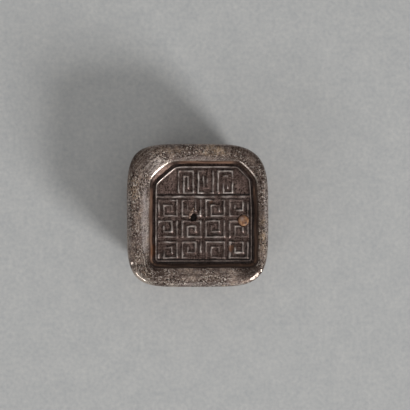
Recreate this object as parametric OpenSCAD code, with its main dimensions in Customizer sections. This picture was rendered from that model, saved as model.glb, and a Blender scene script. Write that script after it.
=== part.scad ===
// Poured silver ingot with a panel struck into its upper face.
// Millimetres. The flat base lies on z = 0, x runs from left to right and y from front to back.
// Sizes grow outward: the struck panel, then the rim round it, then the shoulder down to the belt.

/* [Struck panel] */
// Width of the panel's mouth
panel_w = 36; // [30:0.1:44]
// Length of the panel's mouth, front to back
panel_l = 35.1; // [30:0.1:44]
// Depth of the field below the rim
panel_depth = 1.9; // [1.2:0.1:3]
// How far the panel lies to the right of the middle
panel_x = 1.8; // [0.6:0.1:2]
// How far the panel lies behind the middle
panel_y = 0.35; // [-0.8:0.05:0.6]
// Clipped back left corner, across and along
clip_left = [7.4, 6.2]; // [4:0.1:9]
// Clipped back right corner, across and along
clip_right = [5.9, 5.4]; // [4:0.1:9]
// Radius of the two front corners of the mouth
mouth_r = 3; // [1.6:0.1:4]
// How far the wall runs inward on its way down
wall_run = 1.2; // [0.6:0.1:1.6]
// Width of the soft slope that leads into the mouth
lead_w = 0.9; // [0.5:0.1:1]
// Drop of that slope
lead_drop = 0.3; // [0.1:0.05:0.5]

/* [Struck relief] */
// Width of the groove at the foot of the wall
groove_w = 0.7; // [0.4:0.05:0.9]
// Depth of the groove below the field
groove_depth = 0.4; // [0.2:0.05:0.8]
// Width of the raised border and the divider
border_w = 0.6; // [0.4:0.05:0.9]
// Height of all raised lines above the field
relief_h = 0.45; // [0.25:0.05:0.7]
// Clear length of the upper part of the panel
upper_l = 8.9; // [8.4:0.1:11]
// Width of a raised fret line
fret_line = 0.65; // [0.4:0.05:0.8]
// Distance from one fret line to the next
fret_pitch = 1.7; // [1.4:0.05:1.75]
// Space between neighbouring frets
fret_gap = 1.1; // [0.8:0.05:1.3]
// Least room for one fret, which sets how many the panel takes
fret_cell = 6.4; // [6.2:0.1:8]

/* [Body] */
// Height from the base to the crest of the rim
body_h = 21; // [18:0.1:28]
// Depth of the belt, the widest line, below the crest
shoulder_h = 2.6; // [1.5:0.1:5]
// Mean width of the rim from the mouth to its crest, on the left and right sides
rim_w = 2.15; // [1.9:0.05:3]
// Mean width of the rim from the mouth to its crest, on the front and back sides
rim_l = 2.7; // [2.2:0.05:3.4]
// How far the crest lies to the right of the middle and behind it
crest_shift = [1.1, -0.5]; // [-1.5:0.1:1.5]
// Mean run of the shoulder on the left and right sides
shoulder_w = 3.1; // [2.5:0.05:6]
// Mean run of the shoulder on the front and back sides
shoulder_l = 3.25; // [2.5:0.05:6]
// How far the sides lean in from the belt to the base, so that the block leaves its mould
draft_run = 2.2; // [0.5:0.1:4]
// How much further the round foot draws in
foot_run = 2.8; // [1:0.1:5]
// Fullness of the belt's corners: back right, back left, front left, front right
belt_power = [3.9, 4.8, 4.7, 4.6]; // [3:0.1:5]
// Fullness of the crest's corners, in the same order
crest_power = [5.5, 3.2, 4.2, 6]; // [3:0.1:8]

/* [Flaws of the pour] */
// Pit in the field, measured from the panel's middle
pit_pos = [-3.3, -0.6]; // [-6:0.1:6]
// Width of the pit
pit_w = 2.1; // [1.2:0.1:3]
// Length of the pit
pit_l = 3.2; // [1.8:0.1:4]
// Depth of the pit
pit_depth = 1.6; // [0.8:0.1:2.5]
// Number of gas pits in the underside
gas_count = 26; // [8:1:40]
// Radius of the smallest gas pit
gas_r_min = 0.5; // [0.3:0.05:0.8]
// Radius of the largest gas pit
gas_r_max = 1.5; // [0.9:0.05:1.8]

/* [Pellet and crumbs] */
// Diameter of the pellet
pellet_d = 3.6; // [2.4:0.1:4.4]
// Height of the pellet above the field
pellet_h = 0.9; // [0.5:0.05:1.2]
// Gap between the pellet and the right border
pellet_gap = 0.55; // [0.3:0.05:2]
// How far the pellet lies in front of the panel's middle
pellet_y = 2.05; // [0:0.05:4]
// Radius of the largest crumb
crumb_r = 0.55; // [0.35:0.05:0.7]
// Distance along the pit's left lip to the first crumb
crumb_start = 1.1; // [0.5:0.1:1.5]

/* [Hidden] */

// Points round each ring of the body
around = 72;
// Rings from the base up to the belt, and from the belt up to the crest
flank_rings = 8;
shoulder_rings = 11;
// Points on each round corner of the mouth
corner_steps = 6;
// How far cutters run past the face they cut, and raised lines below the face they stand on
past = 1;
root = 0.2;
// Clear width left between relief and the pellet or the crumbs
clear = 0.15;

field_z = body_h - panel_depth;
belt_h = body_h - shoulder_h;
crest_x = panel_w / 2 + rim_w;
crest_y = panel_l / 2 + rim_l;
belt_x = crest_x + shoulder_w;
belt_y = crest_y + shoulder_l;
// Insets from the mouth to the wall's foot, the border and the clear field
foot_in = wall_run;
border_in = foot_in + groove_w;
field_in = border_in + border_w;
field_w = panel_w - 2 * field_in;
field_l = panel_l - 2 * field_in;
lower_l = field_l - upper_l - border_w;
divider_y = field_l / 2 - upper_l - border_w / 2;
pellet_x = field_w / 2 - pellet_gap - pellet_d / 2;
pellet_pos = [pellet_x, -pellet_y];
// Sphere that gives the pellet its dome
pellet_ball = (pow(pellet_d / 2, 2) + pow(pellet_h, 2)) / (2 * pellet_h);
// Corners of the pit's mouth about its middle, with its point to the back
pit_mouth = [[-pit_w / 2, -pit_l / 2], [pit_w / 2, -pit_l / 2], [pit_w / 10, pit_l / 2]];
// Left lip of the pit, and the way out from it
lip = (pit_mouth[2] - pit_mouth[0]) / norm(pit_mouth[2] - pit_mouth[0]);
lip_out = [-lip[1], lip[0]];
// Crumbs in a row along that lip, each clear of the last
crumb_radii = crumb_r * [0.7, 1, 0.8, 0.55];
// Sunflower turn from one gas pit to the next, and the step that varies their sizes
gas_turn = 137.508;
gas_size_step = 77;
// Share of its radius by which a gas pit's ball is centred below the base
gas_low = 0.35;
// Share of the pit's mouth that is left at its floor
pit_floor = 0.25;

// Quarter curve of a profile: 0 at its start, 1 at its steep end
function quarter(u) = 1 - sqrt(max(0, 1 - u * u));
function mix(a, b, u) = a + (b - a) * u;
function corner_of(turn) = floor(turn / 90) % 4;

// One point of a rounded square in a given direction
function square_point(turn, half_x, half_y, power) =
    let (spread = pow(abs(cos(turn)) / half_x, power) + pow(abs(sin(turn)) / half_y, power))
    pow(spread, -1 / power) * [cos(turn), sin(turn)];

// Ring of the body; as share grows from 0 to 1 it turns from the belt's outline into the crest's
function body_ring(z, in_x, in_y, share) =
    [for (i = [0 : around - 1])
        let (turn = 360 * (i + 0.5) / around)
        let (corner = corner_of(turn))
        let (power = mix(belt_power[corner], crest_power[corner], share * share))
        let (p = share * crest_shift + square_point(turn, belt_x - in_x, belt_y - in_y, power))
        [p[0], p[1], z]];

// u runs from the belt at 0 to the base at 1
function flank_ring(u) =
    let (inset = draft_run * u + foot_run * quarter(u))
    body_ring(belt_h * (1 - u), inset, inset, 0);

// u runs from the belt at 0 to the crest at 1
function shoulder_ring(u) =
    let (share = quarter(u))
    body_ring(mix(belt_h, body_h, u), shoulder_w * share, shoulder_l * share, share);

// Place of a crumb's middle, from the pit's middle
function crumb_along(k) =
    k == 0 ? crumb_start : crumb_along(k - 1) + crumb_radii[k - 1] + clear + crumb_radii[k];
function crumb_pos(k) = pit_pos + pit_mouth[0] + lip * crumb_along(k) + lip_out * (crumb_radii[k] + clear);

function lifted(ring, dz) = [for (p = ring) [p[0], p[1], p[2] + dz]];
function middle(ring) = [for (p = ring) 1 / len(ring)] * ring;

// Outline of the panel, drawn in from its mouth; a clipped corner keeps its slope
function clip_share(clip, inset) =
    1 + inset * (norm([1 / clip[0], 1 / clip[1]]) - 1 / clip[0] - 1 / clip[1]);

function arc(centre, r, start) =
    [for (k = [0 : corner_steps])
        let (turn = start + 90 * k / corner_steps)
        centre + r * [cos(turn), sin(turn)]];

function panel_outline(inset) =
    let (hw = panel_w / 2 - inset)
    let (hl = panel_l / 2 - inset)
    let (r = max(mouth_r - inset, mouth_r / 4))
    let (cr = clip_right * clip_share(clip_right, inset))
    let (cl = clip_left * clip_share(clip_left, inset))
    concat(
        [[hw, hl - cr[1]], [hw - cr[0], hl], [cl[0] - hw, hl], [-hw, hl - cl[1]]],
        arc([r - hw, r - hl], r, 180),
        arc([hw - r, r - hl], r, 270));

function panel_ring(inset, z) = [for (p = panel_outline(inset)) [p[0] + panel_x, p[1] + panel_y, z]];

// Key fret: one line that turns inward, from the lower left corner of its cell
function fret_path(w, l, p) =
    [[0, 0], [0, l], [w, l], [w, 0], [p, 0], [p, l - p], [w - p, l - p], [w - p, p]];

// Solid through a stack of rings, the lowest first; each cap is a fan about the ring's middle
module loft(rings) {
    n = len(rings[0]);
    top = len(rings) - 1;
    low_mid = n * len(rings);
    high_mid = low_mid + 1;
    points = concat([for (ring = rings) each ring], [middle(rings[0]), middle(rings[top])]);
    sides = [for (k = [0 : top - 1], i = [0 : n - 1])
        let (j = (i + 1) % n)
        each [[k * n + i, (k + 1) * n + i, (k + 1) * n + j], [k * n + i, (k + 1) * n + j, k * n + j]]];
    caps = [for (i = [0 : n - 1])
        let (j = (i + 1) % n)
        each [[i, j, low_mid], [top * n + j, top * n + i, high_mid]]];
    polyhedron(points = points, faces = concat(sides, caps));
}

module on_field() {
    translate([panel_x, panel_y, field_z]) children();
}

// Poured block, with the base and the crest cut flat
module blank() {
    flank = [for (k = [flank_rings : -1 : 0]) flank_ring(sin(90 * k / flank_rings))];
    shoulder = [for (k = [1 : shoulder_rings]) shoulder_ring(sin(90 * k / shoulder_rings))];
    last = shoulder[shoulder_rings - 1];
    difference() {
        loft(concat([lifted(flank[0], -past)], flank, shoulder, [lifted(last, past)]));
        translate([-belt_x, -belt_y, -2 * past]) cube([2 * belt_x, 2 * belt_y, 2 * past]);
        translate([-belt_x, -belt_y, body_h]) cube([2 * belt_x, 2 * belt_y, 2 * past]);
    }
}

// Mouth with its soft slope, then the drafted wall down to the field
module panel_cut() {
    loft([
        panel_ring(foot_in, field_z),
        panel_ring(0, body_h - lead_drop),
        panel_ring(-lead_w, body_h),
        panel_ring(-lead_w, body_h + past)]);
}

module frame_shape(outer_in, inner_in) {
    difference() {
        polygon(panel_outline(outer_in));
        polygon(panel_outline(inner_in));
    }
}

module groove_cut() {
    on_field() translate([0, 0, -groove_depth])
        linear_extrude(groove_depth + root) frame_shape(foot_in, border_in);
}

// Three-cornered pit that narrows on its way down
module pit_cut() {
    low = [for (p = pit_mouth) [pit_pos[0] + pit_floor * p[0], pit_pos[1] + pit_floor * p[1], -pit_depth]];
    high = [for (p = pit_mouth) [pit_pos[0] + p[0], pit_pos[1] + p[1], 0]];
    on_field() loft([low, high, lifted(high, relief_h + past)]);
}

// Gas pits, strewn outward from the middle of the base in a sunflower order
module gas_cut() {
    reach = min(belt_x, belt_y) - draft_run - foot_run - gas_r_max;
    for (k = [1 : gas_count]) {
        r = mix(gas_r_min, gas_r_max, pow(abs(sin(k * gas_size_step)), 3));
        away = reach * sqrt(k / gas_count);
        translate([away * cos(k * gas_turn), away * sin(k * gas_turn), -gas_low * r]) sphere(r, $fn = 24);
    }
}

module border() {
    on_field() translate([0, 0, -root]) linear_extrude(relief_h + root) frame_shape(border_in, field_in);
}

module divider() {
    on_field() translate([-field_w / 2 - root, divider_y - border_w / 2, -root])
        cube([field_w + 2 * root, border_w, relief_h + root]);
}

module fret_shape(w, l) {
    path = fret_path(w, l, fret_pitch);
    for (k = [1 : len(path) - 1]) {
        a = path[k - 1];
        b = path[k];
        translate([min(a[0], b[0]) - fret_line / 2, min(a[1], b[1]) - fret_line / 2])
            square([abs(a[0] - b[0]) + fret_line, abs(a[1] - b[1]) + fret_line]);
    }
}

// As many frets as fit a box; every second one is turned end for end
module fret_rows(box_w, box_l) {
    columns = floor(box_w / fret_cell);
    rows = floor(box_l / fret_cell);
    w = box_w / columns - fret_gap - fret_line;
    l = box_l / rows - fret_gap - fret_line;
    for (c = [0 : columns - 1], r = [0 : rows - 1]) {
        turn = (c + r) % 2 == 0 ? 0 : 180;
        translate([((c + 0.5) / columns - 0.5) * box_w, ((r + 0.5) / rows - 0.5) * box_l])
            rotate(turn) translate([-w / 2, -l / 2]) fret_shape(w, l);
    }
}

// Frets in both parts of the panel, cut back round the pellet and the crumbs
module frets() {
    upper_w = field_w - clip_left[0] - clip_right[0] + fret_pitch;
    upper_x = (clip_left[0] - clip_right[0]) / 2;
    on_field() difference() {
        translate([0, 0, -root]) linear_extrude(relief_h + root) {
            translate([0, (lower_l - field_l) / 2]) fret_rows(field_w, lower_l);
            translate([upper_x, (field_l - upper_l) / 2]) fret_rows(upper_w, upper_l);
        }
        translate([pellet_pos[0], pellet_pos[1], 0]) cylinder(r = pellet_d / 2 + clear, h = past, $fn = 48);
        for (k = [0 : len(crumb_radii) - 1]) {
            translate([crumb_pos(k)[0], crumb_pos(k)[1], 0])
                cylinder(r = crumb_radii[k] + clear, h = past, $fn = 24);
        }
    }
}

// The whole block is one pour; the relief is the same metal as the field
module silver_casting() {
    color([0.38, 0.34, 0.32]) difference() {
        union() {
            difference() {
                blank();
                panel_cut();
                groove_cut();
            }
            border();
            divider();
            frets();
        }
        pit_cut();
        gas_cut();
    }
}

// Low dome with a flat foot on the field
module tan_pellet() {
    color([0.60, 0.44, 0.30]) on_field() translate([pellet_pos[0], pellet_pos[1], 0]) intersection() {
        translate([0, 0, pellet_h - pellet_ball]) sphere(pellet_ball, $fn = 96);
        cylinder(r = pellet_d, h = pellet_h + past, $fn = 48);
    }
}

// Crumbs on the field along the pit's lip, each a ball cut flat below its middle
module pit_crumbs() {
    color([0.58, 0.43, 0.31]) on_field()
        for (k = [0 : len(crumb_radii) - 1]) {
            r = crumb_radii[k];
            translate([crumb_pos(k)[0], crumb_pos(k)[1], 0]) intersection() {
                translate([0, 0, r / 4]) sphere(r, $fn = 32);
                translate([-r, -r, 0]) cube([2 * r, 2 * r, 2 * r]);
            }
        }
}

silver_casting();
tan_pellet();
pit_crumbs();
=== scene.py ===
import math

import bmesh
import bpy
import numpy as np
from mathutils import Matrix, Vector, noise


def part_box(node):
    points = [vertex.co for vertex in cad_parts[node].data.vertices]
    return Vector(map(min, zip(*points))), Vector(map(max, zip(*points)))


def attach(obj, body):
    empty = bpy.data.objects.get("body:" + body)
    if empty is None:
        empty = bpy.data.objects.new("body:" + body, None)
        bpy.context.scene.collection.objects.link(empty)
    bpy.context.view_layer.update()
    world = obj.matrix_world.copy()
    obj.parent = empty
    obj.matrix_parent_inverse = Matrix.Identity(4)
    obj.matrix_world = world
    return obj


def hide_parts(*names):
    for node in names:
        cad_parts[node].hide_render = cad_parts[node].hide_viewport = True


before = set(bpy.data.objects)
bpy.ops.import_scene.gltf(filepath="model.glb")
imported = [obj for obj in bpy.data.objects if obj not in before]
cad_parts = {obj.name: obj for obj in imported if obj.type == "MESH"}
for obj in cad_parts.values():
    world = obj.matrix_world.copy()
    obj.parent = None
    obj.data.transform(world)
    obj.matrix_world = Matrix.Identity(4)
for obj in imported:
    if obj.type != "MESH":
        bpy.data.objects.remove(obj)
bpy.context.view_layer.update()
print("frame loaded:", ", ".join(sorted(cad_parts)))

mm = 0.001  # sizes of the pieces are in millimetres, finished meshes in metres


# small helpers

def hexLinear(code):
    parts = [int(code[k:k + 2], 16) / 255 for k in (1, 3, 5)]
    linear = [c / 12.92 if c <= 0.04045 else ((c + 0.055) / 1.055) ** 2.4 for c in parts]
    return (*linear, 1.0)


def addNode(tree, kind, settings=None, inputs=None):
    node = tree.nodes.new("ShaderNode" + kind)
    for name, value in (settings or {}).items():
        setattr(node, name, value)
    for name, value in (inputs or {}).items():
        if isinstance(value, bpy.types.NodeSocket):
            tree.links.new(value, node.inputs[name])
        else:
            node.inputs[name].default_value = value
    return node


def newMaterial(name):
    material = bpy.data.materials.new(name)
    material.use_nodes = True
    tree = material.node_tree
    tree.nodes.clear()
    place = addNode(tree, "TexCoord").outputs["Object"]
    inMm = addNode(tree, "Mapping", inputs={"Vector": place, "Scale": (1 / mm,) * 3}).outputs["Vector"]
    return material, tree, inMm


def softStep(low, high, x):
    t = np.clip((x - low) / (high - low), 0, 1)
    return t * t * (3 - 2 * t)


def lumps(points, size, shift):
    # smooth noise from -1 to 1, with lumps about this big; each use has its own shift, so that no two agree
    away = Vector((shift, shift * 0.7, -shift))
    return np.array([noise.noise(Vector(p) / size + away) for p in points])


def finishPiece(bm, name, material, node):
    bmesh.ops.scale(bm, vec=(mm, mm, mm), verts=bm.verts)
    mesh = bpy.data.meshes.new(name)
    bm.to_mesh(mesh)
    bm.free()
    mesh.shade_smooth()
    mesh.materials.append(material)
    piece = bpy.data.objects.new(name, mesh)
    bpy.context.scene.collection.objects.link(piece)
    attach(piece, "root")
    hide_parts(node)
    print(name, "has", sum(len(p.vertices) - 2 for p in mesh.polygons), "triangles")


# silver casting: one grid over the top, then rings down the flank and under the base

casting = {
    "panelW": 36.0, "panelL": 35.1, "panelDepth": 1.9,  # mouth of the struck panel
    "panelX": 1.8, "panelY": 0.35,
    "clipLeft": (7.9, 6.6), "clipRight": (6.2, 6.3),  # clipped back corners, across and along
    "clipSoft": 0.16,  # rounds the clips' ends, as a share of the clip
    "bowLeft": 0.85, "bowRight": 0.45,  # the mouth bulges at the clips, and the frame stays straight
    "closeLeft": 0.0, "closeRight": 0.05,  # how much closer to the corner the frame is clipped, per mm inward
    "taperLeft": 0.008, "taperRight": 0.03, "taperRun": 12.0,  # the panel narrows towards the back
    "mouthR": 3.0, "fieldR": 0.75, "wallRun": 1.2,
    "frameUp": 0.18, "frameNarrow": 0.004, "frameLong": 0.003,  # the die stood a little off the middle
    "leftIn": 0.1, "sway": 0.12, "swaySize": 4.0, "swayIn": 0.6,  # no edge of the mouth is quite straight
    "grooveW": 0.7, "grooveDepth": 0.4, "borderW": 0.6, "frameSoft": 0.075, "frameLeast": 0.01,
    "reliefH": 0.45, "upperL": 8.9, "upperW": 19.4, "upperX": 0.75,
    "rimW": 2.15, "rimL": 2.7, "crestShift": (1.1, -0.5),
    "lipDrop": 0.14, "lipR": 0.26, "lipRings": 1.2,  # worn lip, with closer rings
    "bevelLeft": (0.15, 0.41), "bevelRight": (0.21, 0.47),  # the clips' lips are rubbed: drop, reach
    "bevelEnds": (0.75, 0.55), "bevelRings": 0.8,
    "crispDrop": 0.03, "crispR": 0.12, "crispRight": 0.6,  # the front and right lips are less worn
    "sideFrom": 0.9,  # where a side begins, as a share of the way out to it
    "leadSlope": 0.25, "leadMost": 0.68, "leadPower": 1.25,  # soft slope from the lip up to the crest
    "shoulderH": 2.6, "shoulderPower": 2.7, "draftRun": 2.2, "footRun": 2.8,
    "beltPower": (3.9, 4.8, 4.7, 4.6), "crestPower": (5.5, 3.2, 4.2, 6.0),  # fullness of the corners
    "fieldRings": 82, "frameRings": 21, "rimRings": 10, "shoulderRings": 17,
    "flankRings": 24, "baseRings": 40, "thinRing": 2,
    "roundFrom": 2, "roundClip": 3, "roundTo": 9, "roundTimes": 8,  # rings at the crest that are worn round
}
fret = {
    "line": 0.65, "pitch": 1.7, "gap": 1.1, "cell": 6.4, "edge": 0.2, "wobble": 0.17, "wobbleSize": 2.2,
    "width": 0.95, "widthVary": 0.5, "widthSize": 1.5,  # share of the line's width
    "height": 0.78, "heightVary": 0.6, "heightSize": 3.1, "heightLeast": 0.3,  # share of the relief's height
    "seatClear": (0.05, 0.35),  # bare ring round the pellet and the crumbs
}
divider = {"w": 0.75, "edge": 0.12, "down": 0.08, "scoreAway": 0.75, "scoreHalf": 0.22, "scoreDepth": 0.22}
pit = {
    "x": -3.3, "y": -0.6, "w": 2.1, "l": 3.2, "tip": 0.1, "depth": 1.6, "slope": 0.22, "lip": 0.06,
    "bellyW": 0.56, "bellyL": 0.34, "bellyDown": 0.1,  # rounder below, as shares of its width and length
    "ragged": 0.42, "raggedSize": 0.8,
}
crumbs = {
    "r": 0.55, "shares": (0.7, 1.0, 0.8, 0.55), "start": 1.1, "clear": 0.15,
    "grainR": 0.2, "grainX": -0.22, "grainY": 0.1,  # small grains fill the gaps
    "rough": 0.22, "roughTurns": 1.4, "grit": 0.1, "gritTurns": 3.5, "apart": 5.0,
    "full": 0.86, "lift": 0.25, "sunk": 0.15,
}
gas = {"count": 26, "small": 0.5, "large": 1.5, "turn": 137.508, "sizeStep": 77.0, "low": 0.35, "dirtAndShade": 1.4}
patina = {
    "wearFrom": 0.45, "wearOut": 0.1, "wearUpper": 1.2, "wearLower": 0.85,  # the upper field is rubbed more
    "shadeRight": (14.0, 15.2), "shadeFront": (-13.8, -15.0),  # painted shade: the border's right, front and right clip get less of the rubbed lightening
    "shadeClip": (24.5, 26.0), "shadeSlant": 1.09, "shadeDim": 0.6,
    "patch": 0.9, "patchVary": 0.5, "patchSize": 2.6, "patchLeast": 0.4,
    "polishLeft": 0.75, "polishRight": 0.95, "polishGain": 2.5, "polishBack": 0.5,  # of the lips
    # low lines are darkened as dirt and as painted shade; the extra on the front and right, which face away
    # from the key light, is painted shade
    "soilReach": 4, "soilDepth": 0.2, "dirtAndShade": 0.8, "shadeCrisp": 0.2, "shadeGain": 1.7,
    "lipFrom": (0.02, 0.14), "lipTo": (0.8, 0.45),  # painted shade under the lip
    "underLipShade": 0.55, "lipCrisp": 0.4, "lipGain": 1.4, "lipBack": 0.2,
    "facetFrom": (0.1, 0.3), "facetEdge": 0.1, "facetSoil": 0.4, "facetClean": 0.8,  # the clips' walls
    "wallFrom": (0.05, 0.25), "wallTo": (0.1, -0.2), "wallFlow": 1.6, "rimTo": (0.25, -0.05),
    "roughFrom": (0.1, 0.55), "bareFrom": (0.4, 0.9), "bareAndSheen": 0.5, "bareFade": 0.7,  # hands rub the edge most, and the edge also carries a painted sheen
    "underFlank": 0.8,
}
surface = {
    "waves": 0.05, "waveSize": 4.5, "grain": 0.018, "grainSize": 0.9,  # of the field
    "flats": 0.14, "flatSize": 7.0, "casts": 0.03, "castSize": 1.5,  # of the rim and the sides
    "pits": 0.05, "pitSize": 0.9, "pitFrom": (0.15, 0.7), "pitsAbove": 0.4, "pitsUnder": 1.6,
    "ripples": 0.2, "rippleTurns": 4.2, "swirl": 0.9, "swirlSize": 6.0, "twist": 0.25, "twistSize": 1.8,
    "ripplePatch": 5.0, "rippleFrom": 0.15, "rippleTo": 0.9, "rippleSoil": 0.4, "rippleDirt": (0.35, 0.8),
    "polishSpared": 0.8,
    "stainRagged": 0.4, "stainRaggedSize": 1.3, "stainEdge": (1.05, 0.5), "stainDown": (-4.0, 0.5),
    "shinyFrom": (0.25, 0.5), "shinyDown": (-0.6, 0.8),  # only the turn of the edge is rubbed bright
    "knockLean": 0.6, "knockFade": (1.0, 0.7), "knockShine": 0.03,
}
stainsAndPaintedLight = (  # middle x and y, reach in x and y, strength
    ("tan", 5.2, 20.8, 5.0, 2.6, 0.8), ("tan", 21.4, -5.6, 2.4, 6.5, 1.0), ("tan", 9.9, -22.6, 2.4, 1.0, 0.7),
    ("tan", -21.0, 9.0, 2.5, 4.0, 0.5), ("tan", -9.0, 21.5, 4.0, 2.0, 0.4),
    ("tan", -17.5, -20.0, 3.0, 2.4, 0.5),
    ("rust", 10.9, -10.8, 1.1, 1.2, 0.8), ("rust", -14.6, -11.8, 1.2, 2.6, 0.9),
    ("rust", 4.4, 4.4, 0.9, 0.7, 0.5),
    # lightening: rubbed metal, and a painted sheen along the left inner band, round the upper left clip and
    # along the outer edges
    ("bareAndSheen", -17.3, -1.0, 1.6, 15.0, 0.68), ("bareAndSheen", -14.0, 16.0, 4.5, 4.0, 0.7),
    ("bareAndSheen", 22.6, 0.0, 1.2, 14.0, 0.8), ("bareAndSheen", -22.6, -2.0, 1.2, 13.0, 0.6),
    ("bareAndSheen", 2.0, 18.6, 12.0, 0.8, 0.5), ("bareAndSheen", 3.0, -22.6, 14.0, 1.0, 0.5),
    # darkening: dirt, and painted shade along the front and right walls, which face away from the key light,
    # and in the lower right corner
    ("dirtAndShade", -15.2, -16.0, 2.6, 2.6, 0.35), ("dirtAndShade", 1.8, -16.2, 26.0, 0.8, 0.75),
    ("dirtAndShade", 19.0, -2.0, 0.9, 24.0, 0.6), ("dirtAndShade", 17.2, -17.0, 3.4, 3.0, 0.45),
    ("shiny", -18.2, -20.7, 6.0, 4.4, 1.0), ("shiny", 19.2, -20.6, 2.4, 2.2, 0.25),
    ("shiny", -7.8, -22.6, 2.0, 1.6, 0.8), ("shiny", 22.0, -13.0, 1.5, 2.0, 0.7),
    # darkening: darker tarnish, and painted shade on the right inner band, the left outer band and the lower
    # right corner, turned from the key light
    ("dark", 20.5, 2.0, 1.3, 15.0, 0.8), ("dark", 17.0, 17.5, 5.5, 5.5, 0.8),
    ("dark", 16.8, -18.0, 5.6, 4.6, 0.95), ("dark", -20.0, 19.5, 6.8, 6.2, 1.0),
    ("dark", -21.0, -3.0, 2.4, 14.0, 0.3), ("dark", -9.0, 21.4, 7.0, 2.4, 0.5),
    ("dark", 14.0, 21.2, 6.0, 2.6, 0.55), ("dark", 2.0, 19.0, 16.0, 1.4, 0.65),
    ("dark", -9.0, -19.5, 8.0, 2.2, 0.35),
    ("filed", -17.0, -18.5, 8.5, 6.5, 1.0), ("filed", -16.5, 18.0, 6.5, 6.0, 0.7),
    ("filed", 2.0, -20.5, 9.0, 3.0, 0.5),
    ("brushed", 11.0, 20.3, 11.0, 3.6, 1.0), ("brushed", -4.0, 20.0, 6.0, 2.4, 0.5),
)
knocks = (  # flats knocked into the turn of the edge: middle x and y, reach, depth, facing in degrees, polish
    (19.0, -20.4, 3.0, 0.05, 307, 0.2), (20.9, -18.1, 0.6, 0.03, 315, 0.5),
    (-21.8, -15.5, 0.8, 0.07, 220, 1.0), (-8.1, -22.4, 0.6, 0.04, 220, 1.0),
    (-7.0, -22.6, 0.4, 0.03, 220, 1.0),
)
marks = (  # what the mesh tells the material, each from 0 to 1
    "wear", "dirtAndShade", "rim", "wall", "under", "rough", "edge", "tan", "rust", "dark", "bareAndSheen", "shiny", "filed",
    "brushed")

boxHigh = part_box("silver_casting")[1]
beltX = boxHigh.x / mm
beltY = boxHigh.y / mm
bodyH = boxHigh.z / mm
fieldZ = bodyH - casting["panelDepth"]
crestX = casting["panelW"] / 2 + casting["rimW"]
crestY = casting["panelL"] / 2 + casting["rimL"]
beltH = bodyH - casting["shoulderH"]
footIn = casting["wallRun"]
borderIn = footIn + casting["grooveW"]
fieldIn = borderIn + casting["borderW"]
fieldW = casting["panelW"] - 2 * fieldIn
fieldL = casting["panelL"] - 2 * fieldIn
lowerL = fieldL - casting["upperL"] - casting["borderW"]
dividerY = fieldL / 2 - casting["upperL"] - casting["borderW"] / 2
panelMid = np.array((casting["panelX"], casting["panelY"]))
mouthRing = casting["fieldRings"] + casting["frameRings"]
crestRing = mouthRing + casting["rimRings"]
lastRing = crestRing + casting["shoulderRings"]


def panelPoint(ux, uy, inset):
    # a point on the panel's outline: ux and uy run round a square, and each corner is clipped or rounded
    hw = casting["panelW"] / 2 - inset
    hl = casting["panelL"] / 2 - inset
    x, y = ux * hw, uy * hl
    bowed = np.clip(1 - inset / casting["wallRun"], 0, 1)
    for side, name in ((1, "Right"), (-1, "Left")):
        clip = casting["clip" + name]
        slope = np.array((1 / clip[0], 1 / clip[1]))
        share = 1 + inset * (np.linalg.norm(slope) - slope.sum() - casting["close" + name])
        cx, cy = clip[0] * share, clip[1] * share
        past = (side * x - hw) / cx + (y - hl) / cy + 1
        onClip = past > 0
        past = (past + np.hypot(past, casting["clipSoft"])) / 2
        steep = 1 / cx ** 2 + 1 / cy ** 2
        x = x - side * past / cx / steep
        y = y - past / cy / steep
        along = ((side * x - hw + cx / 2) * cx - (y - hl + cy / 2) * cy) / (cx ** 2 + cy ** 2) * 2
        bulge = casting["bow" + name] * bowed * onClip * np.maximum(1 - along ** 2, 0) / np.sqrt(steep)
        x = x + side * bulge / cx
        y = y + bulge / cy
    r = np.maximum(casting["mouthR"] - inset, casting["fieldR"])
    across = np.clip((np.abs(x) - hw + r) / r, 0, 1)
    along = np.clip((-y - hl + r) / r, 0, 1)
    corner = (across > 0) & (along > 0)
    turn = np.where(across >= along, along, 2 - across) * math.pi / 4
    x = np.where(corner, np.sign(x) * (hw - r + r * np.cos(turn)), x)
    y = np.where(corner, -(hl - r + r * np.sin(turn)), y)
    share = np.clip(inset / casting["wallRun"], 0, 1)
    taper = np.where(x < 0, casting["taperLeft"], casting["taperRight"]) * softStep(0, casting["taperRun"], y)
    x = x * (1 - casting["frameNarrow"] * share - taper)
    y = y * (1 + casting["frameLong"] * share) + casting["frameUp"] * share
    return x, y


def bodyPoint(turn, inX, inY, share):
    # a point of the body's ring in the direction turn: the belt's outline at share 0, the crest's at 1
    corner = np.floor(turn / (math.pi / 2)).astype(int) % 4
    belt, crest = [np.array(casting[name])[corner] for name in ("beltPower", "crestPower")]
    power = belt + (crest - belt) * share ** 2
    spread = (np.abs(np.cos(turn)) / (beltX - inX)) ** power + (np.abs(np.sin(turn)) / (beltY - inY)) ** power
    radius = spread ** (-1 / power)
    shiftX, shiftY = casting["crestShift"]
    return shiftX * share + radius * np.cos(turn), shiftY * share + radius * np.sin(turn)


def quarter(u):
    return 1 - np.sqrt(np.maximum(0, 1 - u * u))


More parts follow.
